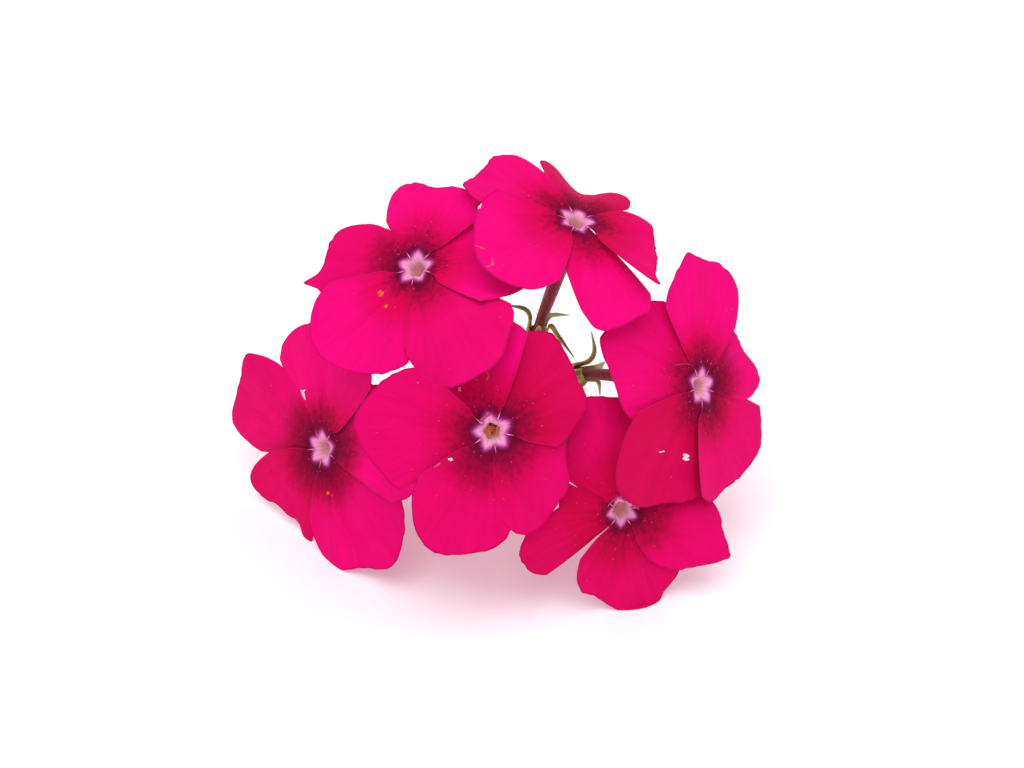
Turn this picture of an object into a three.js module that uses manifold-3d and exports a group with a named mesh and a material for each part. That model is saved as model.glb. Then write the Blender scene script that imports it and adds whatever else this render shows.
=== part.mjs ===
// A cut truss of six garden phlox flowers, lying on a flat surface with its flowers towards the front.
// Each flower is a corolla (a slender tube that opens into five overlapping lobes), a calyx with five
// needle sepals, and the anthers in its throat. One branching green stem carries the calyces.
// Millimetres, +Z up, front is -Y. The origin is on the surface, under the middle of the truss.
import * as THREE from "three";
import { mergeVertices } from "three/addons/utils/BufferGeometryUtils.js";
import Module from "manifold-3d";

const wasm = await Module();
wasm.setup();

// ---- Driving dimensions ----
const FORK = new THREE.Vector3(3.6, 4.8, 13.5); // where the pedicels meet; other places are measured from it
const CLEARANCE = 0.3; // air between pieces that nearly touch

const LOBE_THICKNESS = 0.65;
const LOBE_ROOT = 1.25; // radius at which a lobe grows out of the eye
const LOBE_BELLY = 0.15; // how much wider a lobe's angle is at its root than at its margin
const LOBE_SHOULDER = 0.08; // how far the margin's two corners are rounded off
const LOBE_ROLL = 5; // degrees: each lobe lies over its clockwise neighbour, like a propeller's blade
const LOBE_STEPS = { out: 4, across: 6 };

const EYE_RADIUS = 2.2; // the pale star where the lobes join
const THROAT = { mouth: 0.85, foot: 0.55, from: 0.74 };
const TUBE = { foot: 0.5, waist: 0.8, neck: 1.2, sides: 8, steps: 7 };

const CALYX = { length: 5, floor: 0.9, base: 0.6, outer: 1.15, bore: 0.88, sides: 8 };
const SEPAL = { root: 0.36, tip: 0.13, sides: 4, steps: 3 };
const PEDICEL = { start: 0.55, end: 0.62, cup: 0.8, sides: 7, steps: 4 };
const PEDUNCLE = { fork: 1.0, cut: 1.2, sides: 10, steps: 8 };
const ANTHER = { radius: 0.2, length: 0.8, stalk: 0.16, aside: 0.22, below: 0.7 };

// ---- Colours ----
const PETAL = new THREE.MeshStandardMaterial({ color: 0xd8095c, roughness: 0.75, metalness: 0 });
const SEPAL_GREEN = new THREE.MeshStandardMaterial({ color: 0x6f8a35, roughness: 0.7, metalness: 0 });
const STEM_GREEN = new THREE.MeshStandardMaterial({ color: 0x7d9440, roughness: 0.65, metalness: 0 });
const POLLEN = new THREE.MeshStandardMaterial({ color: 0xd88a2a, roughness: 0.85, metalness: 0 });

// ---- The flowers ----
// A lobe points `aim` degrees counter-clockwise from the flower's right, half of its margin spans
// `spread` degrees, and `reach` and `lift` are how far out and how far forward its margin stands,
// at even steps from its clockwise to its counter-clockwise corner.
const lobe = (aim, spread, reach, lift = [0, 0, 0, 0, 0]) => ({ aim, spread, reach, lift });

// A sepal's `turn` is degrees round its calyx; its tip stands `out` and `along` from the calyx's mouth.
const sepal = (turn, out, along) => ({ turn, out, along });
const evenSepals = (turn) => [0, 1, 2, 3, 4].map((i) => sepal(turn + 72 * i, 3.6 - 0.3 * (i % 2), 3.2));

// `eye` and `mouth` are the centres of the limb and of the calyx's mouth, from the fork. The limb faces
// `heading` degrees to the right of the front and `rise` degrees above level.
const FLOWERS = {
  top: {
    eye: [6.4, -5.5, 25.2],
    mouth: [2.2, -2.0, 9.2],
    heading: 46,
    rise: 73,
    sepals: [
      sepal(116, 3.4, 1.25),
      sepal(0, 5, -1.25),
      sepal(289, 4.2, -2),
      sepal(28, 1.4, 3.2),
      sepal(225, 3.4, 1.5),
    ],
    lobes: [
      lobe(33, 39, [9.3, 11.2, 11.5, 11.5, 11.8, 12.5, 10.4], [-1.8, -3, -4.4, -2.2, 1.2]),
      lobe(104, 34, [7.7, 11.7, 13.1, 12.7, 12.9, 13.6, 12.4], [0, 0, 0.2, 0.9, 1.2]),
      lobe(172, 42, [10.2, 11.7, 13, 14.4, 14.8, 13.5, 10.8], [1.2, 0.5, -0.5, -0.5, -0.5]),
      lobe(244.5, 28, [7.8, 9.8, 14.5, 14.3, 14, 13.9, 12.9], [-2, -3.2, -3.7, -2.7, -1.8]),
      lobe(307.5, 42, [13.2, 11, 9.8, 9.2, 8.9, 8.4, 7]),
    ],
  },
  upper_left: {
    eye: [-11.9, -10.1, 21.5],
    mouth: [-4.5, -3.8, 8.1],
    heading: -33,
    rise: 51,
    sepals: evenSepals(10),
    lobes: [
      lobe(33, 43, [11.3, 12.9, 13.8, 13.6, 13.4, 13.1, 12.7], [0.6, -2, -4, -4, -2]),
      lobe(106, 41, [11.9, 11.3, 10.7, 10.2, 11.1, 11.3, 8.6], [-2.2, -0.8, 0, 0, 0]),
      lobe(181, 33, [6.7, 9, 11.3, 11.8, 12, 12.6, 12.5]),
      lobe(251, 42, [11.4, 12.9, 14.5, 14.5, 13.8, 13.1, 12.3]),
      lobe(324, 33, [10.6, 13.8, 16.6, 17.3, 17.8, 16, 14.4], [-0.4, 0.2, 1.8, 2.2, 0.8]),
    ],
  },
  left: {
    eye: [-23.7, -11.8, -2.0],
    mouth: [-8.9, -4.4, -0.6],
    heading: -45,
    rise: 19,
    sepals: evenSepals(40),
    lobes: [
      lobe(33, 36, [14.8, 17, 15.6, 15, 14.2, 13, 11]),
      lobe(103, 45, [13.5, 15.3, 15.4, 15.2, 15.1, 14.9, 14.4]),
      lobe(173, 33, [8.5, 13.4, 17.5, 17.9, 18.7, 19, 14.6], [-1, -1, -1, -1, -1]),
      lobe(240, 35, [9.6, 14.5, 14.2, 11.8, 11.1, 11.1, 14], [0, -1, 0, 0, 0]),
      lobe(317, 41, [9.5, 13.1, 14.6, 15.3, 17.2, 15.8, 14.6]),
    ],
  },
  middle: {
    eye: [-3.1, -25.8, 9.7],
    mouth: [-1.1, -9.3, 3.5],
    heading: 6,
    rise: 27,
    sepals: evenSepals(0),
    lobes: [
      lobe(27, 43, [8, 9.2, 11, 11, 11.7, 12.5, 11.9], [-1, -2, -2, -2, -1]),
      lobe(103.5, 35.5, [12.3, 12.3, 11.8, 11.2, 10.4, 9.5, 8], [0, -2.4, -5.5, -5.9, -4]),
      lobe(172.5, 37.5, [11.7, 12.8, 14, 15, 14, 12.9, 12.7], [1.5, 1, 0.2, 0, 0]),
      lobe(245, 38, [10, 12, 13.9, 14.3, 13.5, 12.7, 10.4]),
      lobe(308, 40, [8.5, 11.8, 11.9, 11, 10.6, 9, 8.8], [-1, -1, -1.5, -1.5, -1]),
    ],
  },
  right: {
    eye: [20.8, -14.1, 8.2],
    mouth: [7.6, -4.4, 4.2],
    heading: 51,
    rise: 22,
    sepals: [
      sepal(48, 3.8, 1),
      sepal(346, 4.6, -0.5),
      sepal(277, 2.4, 0.75),
      sepal(160, 4.8, -1.2),
      sepal(200, 4.6, -1.5),
    ],
    lobes: [
      lobe(0, 36, [9.8, 11.7, 11.9, 10.7, 10.4, 10.2, 10], [-1, -1, -1, -1, -1]),
      lobe(62, 37, [9.9, 13.2, 14.7, 14.6, 14.8, 13.1, 11.6]),
      lobe(135, 45, [11.4, 12.2, 13.2, 13.9, 13.2, 12.8, 12], [-2.4, -4, -3.6, -1.6, 0]),
      lobe(207, 37, [12.4, 16.3, 18.3, 17, 14.6, 13.5, 12.8], [-1, -1, -0.5, 0.5, 1.2]),
      lobe(279, 46, [13.8, 13.2, 12.3, 12.9, 13.5, 14.2, 13.8], [1.2, 0.6, 0, 0, 0]),
    ],
  },
  lower_right: {
    eye: [11.4, -25.4, -1.3],
    mouth: [4.1, -9.1, -0.5],
    heading: 14,
    rise: 11,
    sepals: evenSepals(25),
    lobes: [
      lobe(35, 34, [8.5, 9.5, 10, 10, 10, 9.5, 8.5], [-7, -9, -9, -8, -6]),
      lobe(103, 42, [10.5, 11.6, 12.1, 12.8, 10.6, 8.8, 7.9], [-5, -5, -4, -3, -1.5]),
      lobe(182, 35, [7.4, 7.4, 7.8, 10.6, 12.3, 12.6, 12.1], [-2, -1, 0, 0, 0]),
      lobe(266, 43, [7.8, 10.2, 10.8, 12.4, 14.4, 12.2, 12]),
      lobe(328, 34, [7.4, 10.1, 11.9, 14.5, 13, 12, 9.5], [0, 0, 0, -1, -3.5]),
    ],
  },
};

// The peduncle runs back and down from the fork to its cut end on the surface.
const PEDUNCLE_ROUTE = [
  [0, -1.5, 0.6],
  [0.3, 4, -1.6],
  [0.4, 11, -5.4],
  [-0.4, 18, -9.9],
  [-0.8, 22.5, -12.9],
];

// ---- Solids ----
const radians = THREE.MathUtils.degToRad;
const vector = (list) => new THREE.Vector3(...list);

function solid(geometry) {
  const bare = geometry.clone();
  bare.deleteAttribute("normal");
  bare.deleteAttribute("uv");
  const merged = mergeVertices(bare, 1e-4);
  return new wasm.Manifold(
    new wasm.Mesh({
      numProp: 3,
      vertProperties: new Float32Array(merged.attributes.position.array),
      triVerts: new Uint32Array(merged.index.array),
    }),
  );
}

const union = (solids) => solids.reduce((whole, piece) => whole.add(piece));

function namedMesh(name, whole, material) {
  const { numProp, numVert, vertProperties, triVerts } = whole.getMesh();
  const positions = new Float32Array(numVert * 3);
  for (let i = 0; i < numVert; i++) {
    positions.set(vertProperties.subarray(i * numProp, i * numProp + 3), i * 3);
  }
  const geometry = new THREE.BufferGeometry();
  geometry.setAttribute("position", new THREE.BufferAttribute(positions, 3));
  geometry.setIndex(new THREE.BufferAttribute(triVerts, 1));
  geometry.computeVertexNormals();
  const mesh = new THREE.Mesh(geometry, material);
  mesh.name = name;
  return mesh;
}

// A closed body from rings of points: ring i joins ring i + 1, and the two ends are capped.
function loft(rings) {
  const sides = rings[0].length;
  const indices = [];
  for (let i = 0; i + 1 < rings.length; i++) {
    for (let j = 0; j < sides; j++) {
      const a = i * sides + j;
      const b = i * sides + ((j + 1) % sides);
      indices.push(a, b, b + sides, a, b + sides, a + sides);
    }
  }
  const last = (rings.length - 1) * sides;
  for (let j = 1; j + 1 < sides; j++) {
    indices.push(0, j + 1, j);
    indices.push(last, last + j, last + j + 1);
  }
  const geometry = new THREE.BufferGeometry().setFromPoints(rings.flat());
  geometry.setIndex(indices);
  return geometry;
}

// A round tube along a curve, with its radius given by the share of the way along it.
function taperedTube(curve, radiusAt, sides, steps) {
  const frames = curve.computeFrenetFrames(steps, false);
  const rings = [];
  for (let i = 0; i <= steps; i++) {
    const centre = curve.getPointAt(i / steps);
    const ring = [];
    for (let j = 0; j < sides; j++) {
      const angle = (j / sides) * Math.PI * 2;
      ring.push(
        centre
          .clone()
          .addScaledVector(frames.normals[i], Math.cos(angle) * radiusAt(i / steps))
          .addScaledVector(frames.binormals[i], Math.sin(angle) * radiusAt(i / steps)),
      );
    }
    rings.push(ring);
  }
  return solid(loft(rings));
}

// ---- Places on a flower ----
// right, up and out of something that faces `heading` and `rise`.
function facing(heading, rise) {
  const h = radians(heading);
  const r = radians(rise);
  const out = new THREE.Vector3(Math.sin(h) * Math.cos(r), -Math.cos(h) * Math.cos(r), Math.sin(r));
  const right = new THREE.Vector3(Math.cos(h), Math.sin(h), 0);
  const up = new THREE.Vector3().crossVectors(out, right);
  return { right, up, out };
}

function facingAlong(direction) {
  const heading = THREE.MathUtils.radToDeg(Math.atan2(direction.x, -direction.y));
  const rise = THREE.MathUtils.radToDeg(Math.asin(direction.z / direction.length()));
  return facing(heading, rise);
}

function placeIn(axes, origin, x, y, z) {
  return origin
    .clone()
    .addScaledVector(axes.right, x)
    .addScaledVector(axes.up, y)
    .addScaledVector(axes.out, z);
}

// A smooth curve through evenly spaced values, read at `across` from -1 to 1.
function between(values, across) {
  const line = new THREE.CatmullRomCurve3(values.map((value) => new THREE.Vector3(value, 0, 0)));
  line.curveType = "catmullrom";
  return line.getPoint((across + 1) / 2).x;
}

// ---- Corolla ----
function lobePoint(flower, { aim, spread, reach, lift }, outward, across) {
  const margin = between(reach, across) * (1 - LOBE_SHOULDER * Math.abs(across) ** 6);
  const radius = LOBE_ROOT + (margin - LOBE_ROOT) * outward;
  const share = radius / margin;
  const angle = radians(aim + spread * across * (1 + LOBE_BELLY * (1 - share)));
  const roll = Math.tan(radians(LOBE_ROLL)) * radius * Math.sin(radians(spread * across));
  const height = between(lift, across) * share ** 1.6 - roll;
  const axes = facing(flower.heading, flower.rise);
  return placeIn(axes, vector(flower.eye), radius * Math.cos(angle), radius * Math.sin(angle), height);
}

// The front and back of a lobe are the same grid of points, half the thickness to each side.
function lobeSolid(flower, shape) {
  const { out: rows, across: columns } = LOBE_STEPS;
  const small = 0.02;
  const front = [];
  const back = [];
  for (let i = 0; i <= rows; i++) {
    for (let j = 0; j <= columns; j++) {
      const outward = i / rows;
      const across = (j / columns) * 2 - 1;
      const point = lobePoint(flower, shape, outward, across);
      const step = across > 0 ? -small : small;
      const away = lobePoint(flower, shape, outward + small, across).sub(point);
      const aside = lobePoint(flower, shape, outward, across + step).sub(point).divideScalar(step);
      const normal = away.cross(aside).normalize();
      front.push(point.clone().addScaledVector(normal, LOBE_THICKNESS / 2));
      back.push(point.clone().addScaledVector(normal, -LOBE_THICKNESS / 2));
    }
  }
  const width = columns + 1;
  const count = front.length;
  const indices = [];
  for (let i = 0; i < rows; i++) {
    for (let j = 0; j < columns; j++) {
      const a = i * width + j;
      indices.push(a, a + width, a + width + 1, a, a + width + 1, a + 1);
      indices.push(a + count, a + width + 1 + count, a + width + count);
      indices.push(a + count, a + 1 + count, a + width + 1 + count);
    }
  }
  for (const [a, b] of rim(rows, columns)) {
    indices.push(a, b, b + count, a, b + count, a + count);
  }
  const geometry = new THREE.BufferGeometry().setFromPoints([...front, ...back]);
  geometry.setIndex(indices);
  return solid(geometry);
}

// Pairs of neighbouring grid points round the edge of a grid, in one direction.
function rim(rows, columns) {
  const width = columns + 1;
  const loop = [];
  for (let j = 0; j < columns; j++) loop.push(j);
  for (let i = 0; i < rows; i++) loop.push(i * width + columns);
  for (let j = columns; j > 0; j--) loop.push(rows * width + j);
  for (let i = rows; i > 0; i--) loop.push(i * width);
  return loop.map((point, i) => [point, loop[(i + 1) % loop.length]]);
}

function tubeCurve(flower) {
  const mouth = vector(flower.mouth);
  const axis = mouth.clone().normalize();
  const eye = vector(flower.eye);
  const { out } = facing(flower.heading, flower.rise);
  const foot = mouth.clone().addScaledVector(axis, CALYX.floor + CLEARANCE - CALYX.length);
  return new THREE.CubicBezierCurve3(
    foot,
    mouth.clone().addScaledVector(axis, 4),
    eye.clone().addScaledVector(out, -7),
    eye,
  );
}

// The throat is the hollow top of the tube: its centre line runs on a little past the eye.
function throatCurve(flower) {
  const tube = tubeCurve(flower);
  const { out } = facing(flower.heading, flower.rise);
  const shares = [THROAT.from, 0.85, 1];
  const points = shares.map((share) => tube.getPointAt(share));
  points.push(points.at(-1).clone().addScaledVector(out, 1));
  return new THREE.CatmullRomCurve3(points);
}

function corolla(flower) {
  const axes = facing(flower.heading, flower.rise);
  const eye = vector(flower.eye);
  const ring = (radius, height, sides) => {
    const points = [];
    for (let j = 0; j < sides; j++) {
      const angle = (j / sides) * Math.PI * 2;
      points.push(placeIn(axes, eye, radius * Math.cos(angle), radius * Math.sin(angle), height));
    }
    return points;
  };
  const disc = solid(loft([ring(1.1, -1.2, 15), ring(EYE_RADIUS, -0.45, 15), ring(EYE_RADIUS, 0.35, 15)]));
  const flare = (share) =>
    share < 0.5
      ? THREE.MathUtils.lerp(TUBE.foot, TUBE.waist, share * 2)
      : THREE.MathUtils.lerp(TUBE.waist, TUBE.neck, (share * 2 - 1) ** 1.6);
  const tube = taperedTube(tubeCurve(flower), flare, TUBE.sides, TUBE.steps);
  const hollow = (share) => THREE.MathUtils.lerp(THROAT.foot, THROAT.mouth, Math.min(share * 1.4, 1));
  const throat = taperedTube(throatCurve(flower), hollow, TUBE.sides, 4);
  const lobes = flower.lobes.map((shape) => lobeSolid(flower, shape));
  return union([disc, tube, ...lobes]).subtract(throat);
}

// ---- Anthers: three round the tip of the style ----
function anthers(flower) {
  const throat = throatCurve(flower);
  const axes = facing(flower.heading, flower.rise);
  const eye = vector(flower.eye);
  const foot = throat.getPointAt(0.08);
  const style = new THREE.CatmullRomCurve3([
    foot,
    throat.getPointAt(0.4),
    placeIn(axes, eye, 0, 0, -ANTHER.below),
  ]);
  const pieces = [taperedTube(style, () => ANTHER.stalk, 5, 3)];
  for (const [turn, down] of [[100, 0.5], [220, 0.9], [340, 0.2]]) {
    const x = ANTHER.aside * Math.cos(radians(turn));
    const y = ANTHER.aside * Math.sin(radians(turn));
    const body = new THREE.CapsuleGeometry(ANTHER.radius, ANTHER.length - 2 * ANTHER.radius, 2, 6);
    body.rotateX(Math.PI / 2);
    body.applyMatrix4(new THREE.Matrix4().makeBasis(axes.right, axes.up, axes.out));
    body.translate(...placeIn(axes, eye, x, y, -ANTHER.below - down).toArray());
    pieces.push(solid(body));
  }
  return union(pieces);
}

// ---- Calyx ----
function calyx(flower) {
  const mouth = vector(flower.mouth);
  const axes = facingAlong(mouth);
  const { length, floor, base, outer, bore, sides } = CALYX;
  const profile = [
    [0, 0],
    [base, 0],
    [outer * 0.88, floor],
    [outer, length * 0.5],
    [outer, length],
    [bore, length],
    [bore, floor],
    [0, floor],
  ].map(([radius, height]) => new THREE.Vector2(radius, height));
  const cup = new THREE.LatheGeometry(profile, sides);
  cup.rotateX(Math.PI / 2);
  cup.applyMatrix4(new THREE.Matrix4().makeBasis(axes.right, axes.up, axes.out));
  cup.translate(...placeIn(axes, mouth, 0, 0, -length).toArray());
  const needles = flower.sepals.map(({ turn, out, along }) => {
    const at = (radius, height) =>
      placeIn(axes, mouth, radius * Math.cos(radians(turn)), radius * Math.sin(radians(turn)), height);
    const rib = new THREE.CatmullRomCurve3([
      at(outer + 0.08, -0.9),
      at(outer + 0.25, 0.7),
      at((outer + out) * 0.5, 0.55 * along + 0.9),
      at(outer + out, along),
    ]);
    const width = (share) => THREE.MathUtils.lerp(SEPAL.root, SEPAL.tip, share);
    return taperedTube(rib, width, SEPAL.sides, SEPAL.steps);
  });
  return union([solid(cup), ...needles]);
}

// ---- Stem: the peduncle and a pedicel to each calyx ----
function stem() {
  const peduncleCurve = new THREE.CatmullRomCurve3(PEDUNCLE_ROUTE.map(vector));
  const girth = (share) => THREE.MathUtils.lerp(PEDUNCLE.fork, PEDUNCLE.cut, share);
  const swell = (share) => {
    const slender = THREE.MathUtils.lerp(PEDICEL.start, PEDICEL.end, share);
    return share > 0.9 ? PEDICEL.cup : slender;
  };
  const pieces = [taperedTube(peduncleCurve, girth, PEDUNCLE.sides, PEDUNCLE.steps)];
  for (const flower of Object.values(FLOWERS)) {
    const mouth = vector(flower.mouth);
    const axis = mouth.clone().normalize();
    const end = mouth.clone().addScaledVector(axis, -CALYX.length - CLEARANCE);
    const pedicel = new THREE.QuadraticBezierCurve3(
      new THREE.Vector3(0, 1.2, -0.4),
      end.clone().multiplyScalar(0.3),
      end,
    );
    pieces.push(taperedTube(pedicel, swell, PEDICEL.sides, PEDICEL.steps));
  }
  return union(pieces);
}

// ---- The truss on its surface ----
// Whatever reaches under the surface is pressed flat by it.
const SURFACE_SIZE = 200;
const surface = new THREE.BoxGeometry(SURFACE_SIZE, SURFACE_SIZE, SURFACE_SIZE);
surface.translate(0, 0, -FORK.z - SURFACE_SIZE / 2);
const underSurface = solid(surface);
const resting = (whole) => whole.subtract(underSurface);

const truss = new THREE.Group();
truss.name = "phlox_truss";
truss.position.copy(FORK);
truss.add(namedMesh("stem", resting(stem()), STEM_GREEN));
for (const [name, flower] of Object.entries(FLOWERS)) {
  truss.add(namedMesh(`calyx_${name}`, calyx(flower), SEPAL_GREEN));
  truss.add(namedMesh(`corolla_${name}`, resting(corolla(flower)), PETAL));
  truss.add(namedMesh(`anthers_${name}`, anthers(flower), POLLEN));
}

export default truss;
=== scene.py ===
"""A cut truss of six garden phlox flowers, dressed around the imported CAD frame.

Every flower of the frame gets fine petals, a corolla tube, anthers and a ribbed calyx in place of its plain
solids, and the branching stem gets its ridges, hairs and cut end. Lengths are in millimetres until add_piece
turns them into the frame's metres. +Z is up and the front is -Y.
"""

import math

import bpy
import numpy as np
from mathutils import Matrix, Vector


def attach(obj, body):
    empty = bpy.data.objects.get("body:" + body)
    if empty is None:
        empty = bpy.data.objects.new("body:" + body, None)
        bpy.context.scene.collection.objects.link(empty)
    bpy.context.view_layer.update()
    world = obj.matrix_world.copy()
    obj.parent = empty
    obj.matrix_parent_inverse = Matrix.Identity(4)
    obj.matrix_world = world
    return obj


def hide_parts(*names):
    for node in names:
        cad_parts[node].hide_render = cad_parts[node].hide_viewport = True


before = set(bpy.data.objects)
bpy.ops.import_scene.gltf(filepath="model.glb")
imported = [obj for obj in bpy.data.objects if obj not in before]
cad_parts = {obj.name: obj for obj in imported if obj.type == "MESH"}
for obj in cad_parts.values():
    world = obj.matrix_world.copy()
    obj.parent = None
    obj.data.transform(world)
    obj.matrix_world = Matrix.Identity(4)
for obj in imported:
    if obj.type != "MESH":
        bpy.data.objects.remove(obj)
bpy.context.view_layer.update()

MM = 0.001

# ---- The truss, as the CAD source gives it ----
FORK = np.array([3.6, 4.8, 13.5])  # where the pedicels meet; the flowers are placed from it

LOBE_BELLY = 0.15  # how much wider a lobe's angle is at its root than at its margin
LOBE_SHOULDER = 0.08  # how far the margin's two corners are rounded off
LOBE_ROLL = 5  # degrees: each lobe lies over its clockwise neighbour

CALYX = {"length": 5.0, "floor": 0.9, "base": 0.6, "outer": 1.15}
PEDICEL = {"start": 0.55, "end": 0.62, "cup": 0.8}
PEDUNCLE = {"fork": 1.0, "cut": 1.2}
TUBE = {"foot": 0.5, "waist": 0.8, "neck": 1.2}
TUBE_BEND = {"calyx": 4, "eye": 7}  # how long the curve keeps the direction of each end
CLEARANCE = 0.3  # air between pieces that nearly touch

PEDUNCLE_ROUTE = [
    (0.0, -1.5, 0.6),
    (0.3, 4.0, -1.6),
    (0.4, 11.0, -5.4),
    (-0.4, 18.0, -9.9),
    (-0.8, 22.5, -12.9),
]


def lobe(aim, spread, reach, lift=(0, 0, 0, 0, 0)):
    """A petal lobe. It points `aim` degrees counter-clockwise from the flower's right, and half of its
    margin spans `spread` degrees. The margin stands `reach` out and `lift` forward, both at even steps
    from the lobe's clockwise to its counter-clockwise corner."""
    return {"aim": aim, "spread": spread, "reach": reach, "lift": lift}


def sepal(turn, out, along):
    """A needle sepal, `turn` degrees round its calyx. Its tip is `out` and `along` from the mouth."""
    return {"turn": turn, "out": out, "along": along}


def even_sepals(turn):
    """Five sepals evenly round a calyx, of slightly uneven length."""
    return [sepal(turn + 72 * i, 3.6 - 0.3 * (i % 2), 3.2) for i in range(5)]


FLOWERS = {
    "top": {
        "eye": (6.4, -5.5, 25.2),
        "mouth": (2.2, -2.0, 9.2),
        "heading": 46,
        "rise": 73,
        "sepals": [
            sepal(116, 3.4, 1.25),
            sepal(0, 5, -1.25),
            sepal(289, 4.2, -2),
            sepal(28, 1.4, 3.2),
            sepal(225, 3.4, 1.5),
        ],
        "lobes": [
            lobe(33, 39, (9.3, 11.2, 11.5, 11.5, 11.8, 12.5, 10.4), (-1.8, -3, -4.4, -2.2, 1.2)),
            lobe(104, 34, (7.7, 11.7, 13.1, 12.7, 12.9, 13.6, 12.4), (0, 0, 0.2, 0.9, 1.2)),
            lobe(172, 42, (10.2, 11.7, 13, 14.4, 14.8, 13.5, 10.8), (1.2, 0.5, -0.5, -0.5, -0.5)),
            lobe(244.5, 28, (7.8, 9.8, 14.5, 14.3, 14, 13.9, 12.9), (-2, -3.2, -3.7, -2.7, -1.8)),
            lobe(307.5, 42, (13.2, 11, 9.8, 9.2, 8.9, 8.4, 7)),
        ],
    },
    "upper_left": {
        "eye": (-11.9, -10.1, 21.5),
        "mouth": (-4.5, -3.8, 8.1),
        "heading": -33,
        "rise": 51,
        "sepals": even_sepals(10),
        "lobes": [
            lobe(33, 43, (11.3, 12.9, 13.8, 13.6, 13.4, 13.1, 12.7), (0.6, -2, -4, -4, -2)),
            lobe(106, 41, (11.9, 11.3, 10.7, 10.2, 11.1, 11.3, 8.6), (-2.2, -0.8, 0, 0, 0)),
            lobe(181, 33, (6.7, 9, 11.3, 11.8, 12, 12.6, 12.5)),
            lobe(251, 42, (11.4, 12.9, 14.5, 14.5, 13.8, 13.1, 12.3)),
            lobe(324, 33, (10.6, 13.8, 16.6, 17.3, 17.8, 16, 14.4), (-0.4, 0.2, 1.8, 2.2, 0.8)),
        ],
    },
    "left": {
        "eye": (-23.7, -11.8, -2.0),
        "mouth": (-8.9, -4.4, -0.6),
        "heading": -45,
        "rise": 19,
        "sepals": even_sepals(40),
        "lobes": [
            lobe(33, 36, (14.8, 17, 15.6, 15, 14.2, 13, 11)),
            lobe(103, 45, (13.5, 15.3, 15.4, 15.2, 15.1, 14.9, 14.4)),
            lobe(173, 33, (8.5, 13.4, 17.5, 17.9, 18.7, 19, 14.6), (-1, -1, -1, -1, -1)),
            lobe(240, 35, (9.6, 14.5, 14.2, 11.8, 11.1, 11.1, 14), (0, -1, 0, 0, 0)),
            lobe(317, 41, (9.5, 13.1, 14.6, 15.3, 17.2, 15.8, 14.6)),
        ],
    },
    "middle": {
        "eye": (-3.1, -25.8, 9.7),
        "mouth": (-1.1, -9.3, 3.5),
        "heading": 6,
        "rise": 27,
        "sepals": even_sepals(0),
        "lobes": [
            lobe(27, 43, (8, 9.2, 11, 11, 11.7, 12.5, 11.9), (-1, -2, -2, -2, -1)),
            lobe(103.5, 35.5, (12.3, 12.3, 11.8, 11.2, 10.4, 9.5, 8), (0, -2.4, -5.5, -5.9, -4)),
            lobe(172.5, 37.5, (11.7, 12.8, 14, 15, 14, 12.9, 12.7), (1.5, 1, 0.2, 0, 0)),
            lobe(245, 38, (10, 12, 13.9, 14.3, 13.5, 12.7, 10.4)),
            lobe(308, 40, (8.5, 11.8, 11.9, 11, 10.6, 9, 8.8), (-1, -1, -1.5, -1.5, -1)),
        ],
    },
    "right": {
        "eye": (20.8, -14.1, 8.2),
        "mouth": (7.6, -4.4, 4.2),
        "heading": 51,
        "rise": 22,
        "sepals": [
            sepal(48, 3.8, 1),
            sepal(346, 4.6, -0.5),
            sepal(277, 2.4, 0.75),
            sepal(160, 4.8, -1.2),
            sepal(200, 4.6, -1.5),
        ],
        "lobes": [
            lobe(0, 36, (9.8, 11.7, 11.9, 10.7, 10.4, 10.2, 10), (-1, -1, -1, -1, -1)),
            lobe(62, 37, (9.9, 13.2, 14.7, 14.6, 14.8, 13.1, 11.6)),
            lobe(135, 45, (11.4, 12.2, 13.2, 13.9, 13.2, 12.8, 12), (-2.4, -4, -3.6, -1.6, 0)),
            lobe(207, 37, (12.4, 16.3, 18.3, 17, 14.6, 13.5, 12.8), (-1, -1, -0.5, 0.5, 1.2)),
            lobe(279, 46, (13.8, 13.2, 12.3, 12.9, 13.5, 14.2, 13.8), (1.2, 0.6, 0, 0, 0)),
        ],
    },
    "lower_right": {
        "eye": (11.4, -25.4, -1.3),
        "mouth": (4.1, -9.1, -0.5),
        "heading": 14,
        "rise": 11,
        "sepals": even_sepals(25),
        "lobes": [
            lobe(35, 34, (8.5, 9.5, 10, 10, 10, 9.5, 8.5), (-7, -9, -9, -8, -6)),
            lobe(103, 42, (10.5, 11.6, 12.1, 12.8, 10.6, 8.8, 7.9), (-5, -5, -4, -3, -1.5)),
            lobe(182, 35, (7.4, 7.4, 7.8, 10.6, 12.3, 12.6, 12.1), (-2, -1, 0, 0, 0)),
            lobe(266, 43, (7.8, 10.2, 10.8, 12.4, 14.4, 12.2, 12)),
            lobe(328, 34, (7.4, 10.1, 11.9, 14.5, 13, 12, 9.5), (0, 0, 0, -1, -3.5)),
        ],
    },
}

# ---- Fine shape, marks and painted light, only in the visual model ----
# Small pointed tips of a margin, by flower and lobe: where across the lobe, how wide, and how far out.
TIPS = {
    ("top", 4): (-0.97, 0.05, 1.4),
    ("top", 0): (0.6, 0.25, 0.4),
    ("upper_left", 2): (0.68, 0.08, 1.9),
    ("left", 2): (-0.34, 0.07, 0.4),
    ("middle", 3): (-0.16, 0.14, 0.2),
    ("right", 1): (0.34, 0.09, 0.7),
    ("right", 2): (-0.03, 0.06, 0.5),
    ("lower_right", 3): (0.37, 0.12, 0.3),
    ("lower_right", 4): (0.02, 0.05, 0.5),
}
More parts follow.
